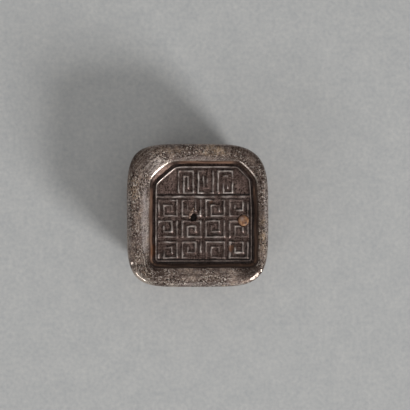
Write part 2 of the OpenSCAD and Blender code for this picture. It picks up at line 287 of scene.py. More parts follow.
def frameHeight(inset):
    # section through border, groove and wall, drawn as a line and then smoothed as worn metal is
    raised = casting["reliefH"]
    sunk = -casting["grooveDepth"]
    mouth = casting["panelDepth"] - casting["leadMost"] - casting["lipDrop"]
    past = 1.0  # the line goes on at both ends, so that the smoothing leaves them alone
    knots = (  # from the field outward: inset and height
        (fieldIn + past, 0), (fieldIn + 0.04, 0), (fieldIn - 0.14, raised), (borderIn + 0.16, raised),
        (borderIn - 0.08, sunk), (footIn + 0.1, sunk), (footIn - 0.14, sunk * 0.3), (0.0, mouth),
        (-past, mouth + 0.8))
    samples, reach = 900, 60
    fine = np.linspace(-past, fieldIn + past, samples)
    line = np.interp(fine, [k[0] for k in knots[::-1]], [k[1] for k in knots[::-1]])
    away = np.arange(-reach, reach + 1) * (fine[1] - fine[0])
    kernel = np.exp(-(away / casting["frameSoft"]) ** 2)
    padded = np.pad(line, reach, mode="edge")
    return np.interp(inset, fine, np.convolve(padded, kernel / kernel.sum(), "valid"))


def fretRows(boxW, boxL, midX, midY):
    # as many key frets as fit the box, every second one turned end for end
    columns = int(boxW // fret["cell"])
    rows = int(boxL // fret["cell"])
    w = boxW / columns - fret["gap"] - fret["line"]
    h = boxL / rows - fret["gap"] - fret["line"]
    p = fret["pitch"]
    path = np.array(((0, 0), (0, h), (w, h), (w, 0), (p, 0), (p, h - p), (w - p, h - p), (w - p, p)))
    path = path - (w / 2, h / 2)
    lines = []
    for i in range(columns):
        for j in range(rows):
            middle = (midX + ((i + 0.5) / columns - 0.5) * boxW, midY + ((j + 0.5) / rows - 0.5) * boxL)
            points = path * (1 if (i + j) % 2 == 0 else -1) + middle
            lines += list(zip(points[:-1], points[1:]))
    return lines


def strokeHeight(x, y, lines, half):
    high = np.zeros_like(x)
    for a, b in lines:
        run = b - a
        along = np.clip(((x - a[0]) * run[0] + (y - a[1]) * run[1]) / run.dot(run), 0, 1)
        gap = np.hypot(x - a[0] - along * run[0], y - a[1] - along * run[1])
        high = np.maximum(high, 1 - softStep(half - fret["edge"], half + fret["edge"], gap))
    return high


def pitCorners():
    w, h = pit["w"], pit["l"]
    return np.array(((-w / 2, -h / 2), (w / 2, -h / 2), (w * pit["tip"], h / 2))) + (pit["x"], pit["y"])


def crumbPlaces():
    # along the pit's left lip, each clear of the last: middle x, y and radius, from the panel's middle
    corners = pitCorners()
    lip = (corners[2] - corners[0]) / np.linalg.norm(corners[2] - corners[0])
    out = np.array((-lip[1], lip[0]))
    places = []
    along = crumbs["start"]
    for k, share in enumerate(crumbs["shares"]):
        r = crumbs["r"] * share
        if k:
            along += places[-1][2] + crumbs["clear"] + r
        middle = corners[0] + lip * along + out * (r + crumbs["clear"])
        places.append((middle[0], middle[1], r))
    return places


def fieldHeight(x, y):
    # relief, pit and unevenness of the struck field; x and y are from the panel's middle
    flat = np.column_stack((x, y, np.zeros_like(x)))
    wx = x + fret["wobble"] * lumps(flat, fret["wobbleSize"], 3)
    wy = y + fret["wobble"] * lumps(flat, fret["wobbleSize"], 11)
    half = fret["line"] / 2 * (fret["width"] + fret["widthVary"] * lumps(flat, fret["widthSize"], 19))
    upperY = (fieldL - casting["upperL"]) / 2
    lines = fretRows(fieldW, lowerL, 0, (lowerL - fieldL) / 2)
    lines += fretRows(casting["upperW"], casting["upperL"], casting["upperX"], upperY)
    worn = fret["height"] + fret["heightVary"] * lumps(flat, fret["heightSize"], 27)
    worn = np.clip(worn, fret["heightLeast"], 1)
    z = casting["reliefH"] * worn * strokeHeight(wx, wy, lines, half)

    # the pellet and the crumbs keep a bare seat
    low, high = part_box("tan_pellet")
    seats = [((low.x + high.x) / 2 / mm - panelMid[0], (low.y + high.y) / 2 / mm - panelMid[1],
              (high.x - low.x) / 2 / mm)]
    near, far = fret["seatClear"]
    for px, py, r in seats + crumbPlaces():
        z *= softStep(r + near, r + far, np.hypot(x - px, y - py))

    # divider with a tool mark along its back
    barHalf = divider["w"] / 2
    away = np.abs(wy - dividerY + divider["down"])
    bar = 1 - softStep(barHalf - divider["edge"], barHalf + divider["edge"], away)
    z = np.maximum(z, casting["reliefH"] * worn * bar)
    z -= divider["scoreDepth"] * np.exp(-((wy - dividerY - divider["scoreAway"]) / divider["scoreHalf"]) ** 2)

    # pit: three corners with a round belly, and a ragged edge
    corners = pitCorners()
    inside = np.full_like(x, -np.inf)
    for a, b in zip(corners, np.roll(corners, -1, axis=0)):
        run = (b - a) / np.linalg.norm(b - a)
        inside = np.maximum(inside, (x - a[0]) * run[1] - (y - a[1]) * run[0])
    bellyX = (x - pit["x"]) / (pit["bellyW"] * pit["w"])
    bellyY = (y - pit["y"] + pit["bellyDown"] * pit["l"]) / (pit["bellyL"] * pit["l"])
    inside = np.minimum(inside, np.hypot(bellyX, bellyY) - 1)
    inside = inside + pit["ragged"] * lumps(flat, pit["raggedSize"], 41)
    hole = softStep(pit["lip"], -pit["slope"], inside)
    z = z * (1 - hole) - pit["depth"] * hole
    z = z + surface["waves"] * lumps(flat, surface["waveSize"], 5)
    return z + surface["grain"] * lumps(flat, surface["grainSize"], 8), hole


def boxBlur(values, reach):
    total = np.zeros_like(values)
    padded = np.pad(values, reach, mode="edge")
    rows, columns = values.shape
    for i in range(2 * reach + 1):
        for j in range(2 * reach + 1):
            total += padded[i:i + rows, j:j + columns]
    return total / (2 * reach + 1) ** 2


def shapeTop(bm, layers, flow):
    c = casting
    grid = np.array([v.co for v in bm.verts])
    gx, gy = np.rint(grid[:, 0]), np.rint(grid[:, 1])
    ring = np.maximum(np.abs(gx), np.abs(gy))
    ux, uy = gx / np.maximum(ring, 1), gy / np.maximum(ring, 1)
    fromFrame = ring >= c["fieldRings"]
    toMouth = ring <= mouthRing

    # the panel: field rings shrink to the middle, frame rings step outward to the mouth
    inset = np.interp(ring, (c["fieldRings"], mouthRing), (fieldIn, 0))
    px, py = panelPoint(ux, uy, inset)
    shrink = np.minimum(ring / c["fieldRings"], 1)
    sway = c["sway"] * (softStep(fieldIn + c["swayIn"], c["swayIn"], inset) * fromFrame)
    flat = np.column_stack((px, py, np.zeros_like(px)))
    px = px * shrink + c["leftIn"] * (1 - ux) * shrink + sway * lumps(flat, c["swaySize"], 61)
    py = py * shrink + sway * lumps(flat, c["swaySize"], 67)
    relief, hole = fieldHeight(px, py)
    fieldStep = fieldW / 2 / c["fieldRings"]
    fromEdge = np.maximum(c["fieldRings"] - ring, 0) * fieldStep
    framed = frameHeight(inset + fromEdge)
    onField = (ring <= c["fieldRings"]) & (relief > framed) | (framed < c["frameLeast"]) & ~fromFrame
    raised = np.where(onField, relief, framed)
    z = fieldZ + raised

    # the rim: from the mouth straight out to the crest, then down the shoulder to the belt
    mx, my = px + panelMid[0], py + panelMid[1]
    turn = np.arctan2(my, mx)
    toCrest = np.clip((ring - mouthRing) / c["rimRings"], 0, 1)
    crestAtX, crestAtY = bodyPoint(turn, beltX - crestX, beltY - crestY, 1.0)
    rimRun = np.hypot(crestAtX - mx, crestAtY - my)
    lipDrop, lipR, clipped = c["lipDrop"], c["lipR"], 0
    for side, name in ((-1, "Left"), (1, "Right")):
        clip = c["clip" + name]
        bevel = c["bevel" + name]
        clipX, clipY = side * (c["panelW"] - clip[0]) / 2, (c["panelL"] - clip[1]) / 2
        rubbed = softStep(*c["bevelEnds"], np.hypot(px - clipX, py - clipY) / math.hypot(*clip))
        lipDrop = lipDrop + (bevel[0] - c["lipDrop"]) * rubbed
        lipR = lipR + (bevel[1] - c["lipR"]) * rubbed
        clipped = clipped + rubbed
    clipped = np.clip(clipped, 0, 1)
    step = toCrest ** (c["lipRings"] + c["bevelRings"] * clipped)
    right, back, front = [softStep(c["sideFrom"], 1.0, way) for way in (ux, uy, -uy)]
    crisp = np.maximum(front, c["crispRight"] * right * (1 - clipped))
    lipDrop = lipDrop - (lipDrop - c["crispDrop"]) * crisp
    lipR = lipR - (lipR - c["crispR"]) * crisp
    lip = np.exp(-(rimRun * step / lipR) ** 2) * (1 - clipped)
    lip = lip + np.maximum(1 - rimRun * step / lipR, 0) * clipped  # a rubbed flat instead of a round lip
    lead = np.minimum(c["leadSlope"] * rimRun, c["leadMost"])
    rimZ = bodyH - lead * (1 - step) ** c["leadPower"] - lipDrop * lip
    climb = np.clip(1 - inset / footIn, 0, 1) ** 2 * fromFrame  # the wall meets the lip wherever that lies
    z = z + (c["leadMost"] + c["lipDrop"] - lead - lipDrop) * climb
    z = np.where(ring == mouthRing, bodyH - lead - lipDrop, z)
    down = np.clip((ring - crestRing) / c["shoulderRings"], 0, 1)
    fuller = 2 / c["shoulderPower"]  # squarer than a quarter circle, so the edge lies close to the outline
    u = np.cos(down * math.pi / 2) ** fuller
    share = 1 - np.sin(down * math.pi / 2) ** fuller
    outX, outY = bodyPoint(turn, (beltX - crestX) * share, (beltY - crestY) * share, share)
    x = np.where(ring > crestRing, outX, mx + (crestAtX - mx) * step)
    y = np.where(ring > crestRing, outY, my + (crestAtY - my) * step)
    z = np.where(ring > mouthRing, rimZ, z)
    z = np.where(ring > crestRing, beltH + c["shoulderH"] * u, z)

    # high lines are worn, and the lips of the clips and the back are polished
    wear = softStep(patina["wearFrom"], 1.0, raised / c["reliefH"]) * (inset > borderIn - patina["wearOut"])
    wear = wear * np.where(py > dividerY, patina["wearUpper"], patina["wearLower"])
    # painted shade: the border's right and front and the right clip, in the walls' shade, lose part of the
    # rubbed lightening
    inShade = np.maximum(softStep(*patina["shadeRight"], px), softStep(*patina["shadeFront"], py))
    inShade = np.maximum(inShade, softStep(*patina["shadeClip"], px + patina["shadeSlant"] * py))
    patch = lumps(np.column_stack((px, py, z)), patina["patchSize"], 33)
    patch = np.clip(patina["patch"] + patina["patchVary"] * patch, patina["patchLeast"], 1)
    wear = wear * (1 - patina["shadeDim"] * inShade) * patch
    polished = np.where(px < 0, patina["polishLeft"], patina["polishRight"]) * clipped
    polished = polished * np.minimum(patina["polishGain"] * lip, 1)
    polished = np.maximum(polished, patina["polishBack"] * back * lip) * (ring >= mouthRing)

    # low lines are darkened, as dirt and as painted shade, from how far each point stands below its
    # neighbours
    size = 2 * lastRing + 1
    column, row = (gx + lastRing).astype(int), (gy + lastRing).astype(int)
    heights = np.zeros((size, size))
    heights[row, column] = z
    proud = (heights - boxBlur(heights, patina["soilReach"]))[row, column]
    proud = np.where(ring < crestRing, proud, 0)
    # painted shade: more darkening on the front and right, which face away from the key light
    dirtAndShade = patina["dirtAndShade"] + patina["shadeCrisp"] * np.minimum(patina["shadeGain"] * crisp, 1)
    # the pit is painted dark all through
    dirtAndShade = np.maximum(np.clip(-proud / patina["soilDepth"], 0, 1) * dirtAndShade, hole)
    # painted shade under the lip, more on the front and right, less at the back
    underLip = softStep(*patina["lipFrom"], inset) * softStep(*patina["lipTo"], inset) * toMouth
    shade = patina["underLipShade"] + patina["lipCrisp"] * np.minimum(patina["lipGain"] * crisp, 1)
    dirtAndShade = np.maximum(dirtAndShade, (shade - patina["lipBack"] * back) * underLip)
    facetLow, facetHigh = footIn + patina["facetEdge"], footIn - patina["facetEdge"]
    facet = softStep(*patina["facetFrom"], inset) * softStep(facetLow, facetHigh, inset) * toMouth
    dirtAndShade = np.maximum(dirtAndShade, patina["facetSoil"] * clipped * facet)

    # where the material changes, and the way that its marks run
    wallLow, wallHigh = [footIn + edge for edge in patina["wallTo"]]
    wall = softStep(wallLow, wallHigh, inset) * softStep(*patina["wallFrom"], inset) * toMouth
    profile = np.hypot(np.hypot(x - mx, y - my), bodyH - z)
    profile = np.where(ring > mouthRing, profile, -patina["wallFlow"] * inset)
    values = {
        "wear": wear, "dirtAndShade": dirtAndShade, "wall": wall * (1 - patina["facetClean"] * clipped),
        "rim": softStep(*patina["rimTo"], inset) * fromFrame,
        "rough": softStep(*patina["roughFrom"], (ring - mouthRing) / (lastRing - mouthRing)),
        "edge": down, "shiny": polished, "bareAndSheen": patina["bareAndSheen"] * softStep(*patina["bareFrom"], down),
    }
    for k, v in enumerate(bm.verts):
        v.co = (x[k], y[k], z[k])
        v[flow] = (beltX * math.cos(turn[k]), beltX * math.sin(turn[k]), profile[k])
        for name, value in values.items():
            v[layers[name]] = value[k]

    # handling has worn the crest round
    inner = mouthRing + c["roundFrom"] + c["roundClip"] * clipped
    soft = [v for k, v in enumerate(bm.verts) if inner[k] < ring[k] < crestRing + c["roundTo"]]
    for _ in range(c["roundTimes"]):
        bmesh.ops.smooth_vert(bm, verts=soft, factor=0.5, use_axis_x=True, use_axis_y=True, use_axis_z=True)


def extrudeSides(bm, layers, flow):
    # flank and base: the open edge is extruded ring by ring
    def nextRing(edges, place, under):
        made = bmesh.ops.extrude_edge_only(bm, edges=edges)["geom"]
        verts = [g for g in made if isinstance(g, bmesh.types.BMVert)]
        for v in verts:
            old = v.co.copy()
            v.co = place(old)
            v[flow].z += (v.co - old).length
            v[layers["under"]] = under
            v[layers["bareAndSheen"]] *= patina["bareFade"]
        return verts, [g for g in made if isinstance(g, bmesh.types.BMEdge) and g.is_boundary]

    def thinned(verts):  # every second point goes, because the sides need fewer than the panel
        ordered = sorted(verts, key=lambda v: math.atan2(v.co.y, v.co.x))
        bmesh.ops.dissolve_verts(bm, verts=ordered[1::2])
        kept = [v for v in ordered[::2] if v.is_valid]
        return list({e for v in kept for e in v.link_edges if e.is_boundary})

    flankRings, baseRings = casting["flankRings"], casting["baseRings"]
    edges = [e for e in bm.edges if e.is_boundary]
    for k in range(1, flankRings + 1):
        u = math.sin(math.pi / 2 * k / flankRings)
        drawIn = casting["draftRun"] * u + casting["footRun"] * quarter(u)
        level = beltH * (1 - u)

        def onFlank(p):
            turn = math.atan2(p.y, p.x)
            return Vector((*bodyPoint(np.array(turn), drawIn, drawIn, 0.0), level))

        verts, edges = nextRing(edges, onFlank, u * patina["underFlank"])
        if k == casting["thinRing"]:
            edges = thinned(verts)
    for k in range(1, baseRings):
        keep = 1 - 1 / (baseRings - k + 1)
        verts, edges = nextRing(edges, lambda p: Vector((p.x * keep, p.y * keep, 0)), 1.0)
        if k in (1, baseRings // 2):
            edges = thinned(verts)
    bmesh.ops.contextual_create(bm, geom=edges)
    bmesh.ops.recalc_face_normals(bm, faces=bm.faces)


def sinkGasPits(bm, layers):
    # strewn under the base in sunflower order
    reach = min(beltX, beltY) - casting["draftRun"] - casting["footRun"] - gas["large"]
    baseVerts = [v for v in bm.verts if v.co.z < 1e-6]
    for k in range(1, gas["count"] + 1):
        vary = abs(math.sin(math.radians(k * gas["sizeStep"]))) ** 3
        r = gas["small"] + (gas["large"] - gas["small"]) * vary
        away = reach * math.sqrt(k / gas["count"])
        spin = math.radians(k * gas["turn"])
        middle = Vector((away * math.cos(spin), away * math.sin(spin)))
        for v in baseVerts:
            d = (v.co.xy - middle).length
            if d < r:
                deep = math.sqrt(r * r - d * d) - gas["low"] * r
                v.co.z = max(v.co.z, deep)
                v[layers["dirtAndShade"]] = max(v[layers["dirtAndShade"]], min(1, deep / r * gas["dirtAndShade"]))


def weatherSkin(bm, layers):
    # stains, painted shade and painted sheen, then hammer flats, cast lumps, pitting and ripples, always
    # pressed inward
    s = surface
    bm.normal_update()
    bm.verts.ensure_lookup_table()
    points = np.array([v.co for v in bm.verts])
    normals = np.array([v.normal for v in bm.verts])
    outside, under, edge = [
        np.array([v[layers[name]] for v in bm.verts]) for name in ("rim", "under", "edge")]
    aboveBelt = points[:, 2] - beltH
    ragged = s["stainRagged"] * lumps(points, s["stainRaggedSize"], 80)
    for kind, sx, sy, reachX, reachY, strength in stainsAndPaintedLight:
        away = np.hypot((points[:, 0] - sx) / reachX, (points[:, 1] - sy) / reachY) + ragged
        spread = strength * softStep(*s["stainEdge"], away) * softStep(*s["stainDown"], aboveBelt)
        if kind == "shiny":
            spread = spread * softStep(*s["shinyFrom"], edge) * softStep(*s["shinyDown"], aboveBelt)
        for k in np.nonzero(spread > 0)[0]:
            v = bm.verts[int(k)]
            v[layers[kind]] = max(v[layers[kind]], spread[k])

    flats = 0.5 + 0.5 * lumps(points, s["flatSize"], 50)
    casts = 0.5 + 0.5 * lumps(points, s["castSize"], 60)
    pits = softStep(*s["pitFrom"], lumps(points, s["pitSize"], 70))
    pits = pits * (s["pitsAbove"] + s["pitsUnder"] * under)
    swirl = points[:, 2] + s["swirl"] * lumps(points, s["swirlSize"], 90)
    swirl = swirl + s["twist"] * lumps(points, s["twistSize"], 95)
    ripples = 0.5 + 0.5 * np.sin(swirl * s["rippleTurns"])
    ripples = ripples * np.clip(under / s["rippleFrom"], 0, 1) * (under < s["rippleTo"])
    ripples *= 0.5 + 0.5 * lumps(points, s["ripplePatch"], 99)
    polished = np.array([v[layers["shiny"]] for v in bm.verts])
    press = s["flats"] * flats + s["casts"] * casts + s["pits"] * pits + s["ripples"] * ripples
    press = outside * (1 - s["polishSpared"] * polished) * press
    dirt = s["rippleSoil"] * softStep(*s["rippleDirt"], ripples)
    for k, v in enumerate(bm.verts):
        v[layers["dirtAndShade"]] = max(v[layers["dirtAndShade"]], dirt[k])
        v.co -= Vector(normals[k]) * press[k]
        v.co.z = max(v.co.z, 0)


def knockEdge(bm, layers):
    shoulder = [v for v in bm.verts if v.co.z > beltH and v[layers["edge"]] > 0]
    lean = surface["knockLean"]
    for kx, ky, reach, depth, facing, polish in knocks:
        middle = Vector((kx, ky))
        near = [v for v in shoulder if (v.co.xy - middle).length < reach]
        top = min(near, key=lambda v: (v.co.xy - middle).length).co.copy()
        spin = math.radians(facing)
        out = Vector((lean * math.cos(spin), lean * math.sin(spin), 1)).normalized()
        for v in near:
            above = (v.co - top).dot(out) + depth
            if above > 0:
                cut = above * softStep(*surface["knockFade"], (v.co.xy - middle).length / reach)
                v.co -= out * cut
                shine = polish * softStep(0, surface["knockShine"], cut)
                v[layers["shiny"]] = max(v[layers["shiny"]], shine)


def makeCasting(material):
    bm = bmesh.new()
    bmesh.ops.create_grid(bm, x_segments=2 * lastRing, y_segments=2 * lastRing, size=lastRing)
    layers = {name: bm.verts.layers.float.new(name) for name in marks}
    flow = bm.verts.layers.float_vector.new("flow")  # runs round the rim in x and y, and down it in z
    shapeTop(bm, layers, flow)
    extrudeSides(bm, layers, flow)
    print("top shaped, sides and base extruded")
    sinkGasPits(bm, layers)
    weatherSkin(bm, layers)
    knockEdge(bm, layers)
    finishPiece(bm, "silver_body", material, "silver_casting")


# pellet and crumbs

pellet = {  # in radii of the pellet, except how far it is sunk in
    "paleX": -0.3, "paleY": 0.35, "paleSpread": 0.14, "scarX": 0.42, "scarY": -0.4, "scarSpread": 0.1,
    "rough": 0.04, "roughTurns": 1.7, "grit": 0.025, "gritTurns": 5.0,
    "full": 0.97, "crown": 0.93, "crownPower": 0.8, "dimple": 0.06, "dimpleR": 0.4, "sunk": 0.12,
}


def makePellet(material):
    low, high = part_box("tan_pellet")
    middle = (low + high) / 2 / mm
    half = (high.x - low.x) / 2 / mm
    tall = (high.z - low.z) / mm
    bm = bmesh.new()
    bmesh.ops.create_icosphere(bm, subdivisions=5, radius=1)
    spots = {name: bm.verts.layers.float.new(name) for name in ("pale", "scar")}
    for v in bm.verts:
        p = v.co.copy()
        for name, layer in spots.items():
            away = (p.x - pellet[name + "X"]) ** 2 + (p.y - pellet[name + "Y"]) ** 2
            v[layer] = math.exp(-away / pellet[name + "Spread"])
        rough = pellet["rough"] * noise.noise(p * pellet["roughTurns"])
        rough += pellet["grit"] * noise.noise(p * pellet["gritTurns"])
        v.co.x = middle.x + p.x * half * (pellet["full"] + rough)
        v.co.y = middle.y + p.y * half * (pellet["full"] + rough)
        dimple = pellet["dimple"] * math.exp(-(math.hypot(p.x, p.y) / pellet["dimpleR"]) ** 2)
        crown = math.copysign(abs(p.z) ** pellet["crownPower"], p.z) * (1 - dimple)
        v.co.z = fieldZ + max(-pellet["sunk"], tall * (crown * pellet["crown"] + rough))
    finishPiece(bm, "tan_bead", material, "tan_pellet")


def makeCrumbs(material):
    bm = bmesh.new()
    places = crumbPlaces()
    for (ax, ay, _), (bx, by, _) in zip(places[:-1], places[1:]):
        places.append(((ax + bx) / 2 + crumbs["grainX"], (ay + by) / 2 + crumbs["grainY"], crumbs["grainR"]))
    for k, (px, py, r) in enumerate(places):
        made = bmesh.ops.create_icosphere(bm, subdivisions=4, radius=1)["verts"]
        shift = Vector((k * crumbs["apart"], 0, 0))
        for v in made:
            p = v.co.copy()
            rough = crumbs["rough"] * noise.noise(p * crumbs["roughTurns"] + shift)
            rough += crumbs["grit"] * noise.noise(p * crumbs["gritTurns"])
            reach = r * min(1.0, crumbs["full"] + rough)
            v.co.x = px + panelMid[0] + p.x * reach
            v.co.y = py + panelMid[1] + p.y * reach
            v.co.z = fieldZ + max(-crumbs["sunk"], r * crumbs["lift"] + p.z * reach)
    finishPiece(bm, "tan_crumbs", material, "pit_crumbs")


# materials

smooth = {"interpolation_type": "SMOOTHSTEP"}
rgba = {"data_type": "RGBA"}
times = {"operation": "MULTIPLY"}
timesPlus = {"operation": "MULTIPLY_ADD"}
minus = {"operation": "SUBTRACT"}
larger = {"operation": "MAXIMUM"}


def tarnishedSilver():
    # poured silver with a grey-brown sulphide skin: satin and dark in the hollows, as dirt and painted shade,
    # brighter where hands and coins have rubbed it and under a painted sheen, peppered with casting pores and
    # small painted glints
    material, tree, inMm = newMaterial("tarnishedCastSilver")
    wear, dirtAndShade, rim, wall, under, rough, edge, tan, rust, dark, bareAndSheen, shiny, filed, brushed = [
        addNode(tree, "Attribute", {"attribute_name": name}).outputs["Fac"] for name in marks]
    flow = addNode(tree, "Attribute", {"attribute_name": "flow"}).outputs["Vector"]

    # spaces that draw a pattern out: across and up the field, or round and down the rim
    sideways, upright, around, broad, downward = [
        addNode(tree, "Mapping", inputs={"Vector": space, "Scale": scale}).outputs["Vector"]
        for space, scale in (
            (inMm, (0.035, 1, 1)), (inMm, (1, 0.07, 1)), (flow, (0.06, 0.06, 1)), (flow, (0.22, 0.22, 1)),
            (flow, (1, 1, 0.08)))]
    drawn = addNode(tree, "Mapping", inputs={
        "Vector": flow, "Location": (31, 17, 5), "Scale": (0.6, 0.6, 1)}).outputs["Vector"]
    patterns = {  # space, size of the features in mm, detail, roughness
        "clouds": (inMm, 6.5, 3.0, 0.5), "blotches": (inMm, 2.2, 4.0, 0.62), "pores": (inMm, 0.44, 2.0, 0.65),
        "glintSpots": (drawn, 0.38, 3.0, 0.65), "fine": (inMm, 0.16, 2.0, 0.5),
        "scoresX": (sideways, 0.28, 2.0, 0.5), "scoresY": (upright, 0.28, 2.0, 0.5),
        "arcs": (around, 0.55, 2.0, 0.5), "strokes": (downward, 0.36, 1.0, 0.5),
        "smears": (broad, 1.3, 3.0, 0.5),
    }
    clouds, blotches, pores, glintSpots, fine, scoresX, scoresY, arcs, strokes, smears = [
        addNode(tree, "TexNoise", inputs={
            "Vector": space, "Scale": 1 / size, "Detail": detail, "Roughness": roughness}).outputs["Fac"]
        for space, size, detail, roughness in patterns.values()]

    # the field, blotched and scored by the die
    patchy = addNode(tree, "MapRange", smooth, {
        "Value": blotches, "From Min": 0.36, "From Max": 0.66}).outputs[0]
    field = addNode(tree, "Mix", rgba, {
        0: patchy, 6: hexLinear("#56453f"), 7: hexLinear("#7f6a63")}).outputs[2]
    scores = addNode(tree, "Math", larger, {0: scoresX, 1: scoresY}).outputs[0]
    scores = addNode(tree, "MapRange", smooth, {
        "Value": scores, "From Min": 0.53, "From Max": 0.64, "To Min": 0.0, "To Max": 0.55}).outputs[0]
    field = addNode(tree, "Mix", rgba, {0: scores, 6: field, 7: hexLinear("#978279")}).outputs[2]

    # the rim's lighter skin, and where each coat lies on it
    skin = addNode(tree, "Mix", rgba, {
        0: patchy, 6: hexLinear("#82716a"), 7: hexLinear("#c0aa9a")}).outputs[2]
    aged, smears, sides, turned, lines, combed, strokes = [
        addNode(tree, "MapRange", smooth, {
            "Value": value, "From Min": low, "From Max": high, "To Max": most}).outputs[0]
        for value, low, high, most in (
            (clouds, 0.42, 0.62, 0.55), (smears, 0.49, 0.62, 0.75), (under, 0.0, 0.45, 0.7),
            (edge, 0.45, 1.0, 0.45), (arcs, 0.5, 0.62, 0.9), (arcs, 0.47, 0.36, 0.7),
            (strokes, 0.46, 0.6, 0.75))]
    sides = addNode(tree, "Math", larger, {0: sides, 1: turned}).outputs[0]
    toned = addNode(tree, "Math", times, {0: tan, 1: patchy}).outputs[0]
    # lighter streaks where the metal is bare: rubbed metal, and also a painted sheen
    streaky = addNode(tree, "MapRange", smooth, {
        "Value": arcs, "From Min": 0.35, "From Max": 0.65, "To Min": 1.0, "To Max": 0.35}).outputs[0]
    streaky = addNode(tree, "Math", times, {0: streaky, 1: bareAndSheen}).outputs[0]
    # darkened where the dark stains lie: darker tarnish, and painted shade on slopes turned from the key
    # light
    darkened = addNode(tree, "Math", times, {0: dark, 1: 0.8}).outputs[0]
    lines, combed, strokes = [
        addNode(tree, "Math", times, {0: share, 1: where}).outputs[0]
        for share, where in ((lines, filed), (combed, filed), (strokes, brushed))]
    coats = (  # from the lowest up
        (aged, "#6d5b50"), (smears, "#5a4a45"), (sides, "#887a70"), (toned, "#cdb090"), (streaky, "#d2c7c2"),
        (darkened, "#5c4d46"), (lines, "#55473f"), (combed, "#c5b5a6"), (strokes, "#45382f"), (shiny, "#d8cabd"))
    for share, code in coats:
        skin = addNode(tree, "Mix", rgba, {0: share, 6: skin, 7: hexLinear(code)}).outputs[2]
    colour = addNode(tree, "Mix", rgba, {0: rim, 6: field, 7: skin}).outputs[2]

    # pores and painted glints, fewer where the metal is bare or carries the painted sheen, combed or
    # polished, and on the sides
    peppered = addNode(tree, "MapRange", inputs={
        "Value": rough, "From Min": 0.0, "From Max": 1.0, "To Min": 0.85, "To Max": 1.15}).outputs[0]
    peppered = addNode(tree, "Math", {"operation": "MULTIPLY_ADD", "use_clamp": True}, {
        0: bareAndSheen, 1: -0.3, 2: peppered}).outputs[0]
    dense = addNode(tree, "MapRange", smooth, {
        "Value": clouds, "From Min": 0.42, "From Max": 0.56, "To Min": 0.55, "To Max": 1.0}).outputs[0]
    above = addNode(tree, "Math", minus, {0: 1.0, 1: sides}).outputs[0]
    uncombed = addNode(tree, "Math", larger, {0: filed, 1: brushed}).outputs[0]
    uncombed = addNode(tree, "Math", timesPlus, {0: uncombed, 1: -0.35, 2: 1.0}).outputs[0]
    matt = addNode(tree, "Math", timesPlus, {0: shiny, 1: -0.9, 2: 1.0}).outputs[0]
    for share in (dense, above, uncombed, matt):
        peppered = addNode(tree, "Math", times, {0: peppered, 1: share}).outputs[0]
    holes = addNode(tree, "MapRange", smooth, {
        "Value": pores, "From Min": 0.51, "From Max": 0.56}).outputs[0]
    holes = addNode(tree, "Math", times, {0: holes, 1: peppered}).outputs[0]
    # painted glints: light specks on the rim that stand in for the sparkle of the lamps
    glints = addNode(tree, "MapRange", smooth, {
        "Value": glintSpots, "From Min": 0.555, "From Max": 0.625}).outputs[0]
    undimmed = addNode(tree, "Math", timesPlus, {0: dark, 1: -0.4, 2: 1.0}).outputs[0]
    for share in (rim, peppered, undimmed):
        glints = addNode(tree, "Math", times, {0: glints, 1: share}).outputs[0]

    # they lie over field and skin, and then come the wall's crust, rubbed high lines, rust, and dirt with
    # painted shade
    crust = addNode(tree, "MapRange", smooth, {"Value": arcs, "From Min": 0.4, "From Max": 0.6}).outputs[0]
    crust = addNode(tree, "Mix", rgba, {
        0: crust, 6: hexLinear("#6a4c3c"), 7: hexLinear("#b28b72")}).outputs[2]
    caked = addNode(tree, "Math", times, {0: wall, 1: 0.85}).outputs[0]
    thin = addNode(tree, "MapRange", smooth, {
        "Value": blotches, "From Min": 0.35, "From Max": 0.6, "To Min": 0.35, "To Max": 1.0}).outputs[0]
    rubbed = addNode(tree, "Math", {"operation": "MULTIPLY", "use_clamp": True}, {
        0: wear, 1: thin}).outputs[0]
    grimeAndShade = addNode(tree, "Math", times, {0: dirtAndShade, 1: 0.9}).outputs[0]
    upperCoats = (
        (holes, hexLinear("#231a16")), (glints, hexLinear("#ebdfd3")), (caked, crust),
        (rubbed, hexLinear("#dbd0c8")), (rust, hexLinear("#7d5133")), (grimeAndShade, hexLinear("#1c1411")))
    for share, coat in upperCoats:
        colour = addNode(tree, "Mix", rgba, {0: share, 6: colour, 7: coat}).outputs[2]

    # dirt, with the painted shade that shares its mark, and rust are dull; rubbed metal is glossier
    gloss = addNode(tree, "MapRange", smooth, {
        "Value": pores, "From Min": 0.4, "From Max": 0.6, "To Min": 0.33, "To Max": 0.48}).outputs[0]
    for share, change in ((dirtAndShade, 0.2), (rust, 0.3), (shiny, -0.16), (sides, -0.12)):
        gloss = addNode(tree, "Math", timesPlus, {0: share, 1: change, 2: gloss}).outputs[0]
    metal = addNode(tree, "Math", timesPlus, {0: wall, 1: -0.6, 2: 0.94}).outputs[0]
    cover = addNode(tree, "Math", larger, {0: dirtAndShade, 1: rust}).outputs[0]
    clean = addNode(tree, "MapRange", smooth, {
        "Value": cover, "From Min": 0.4, "From Max": 1.0, "To Min": 1.0, "To Max": 0.2}).outputs[0]
    metal = addNode(tree, "Math", times, {0: metal, 1: clean}).outputs[0]

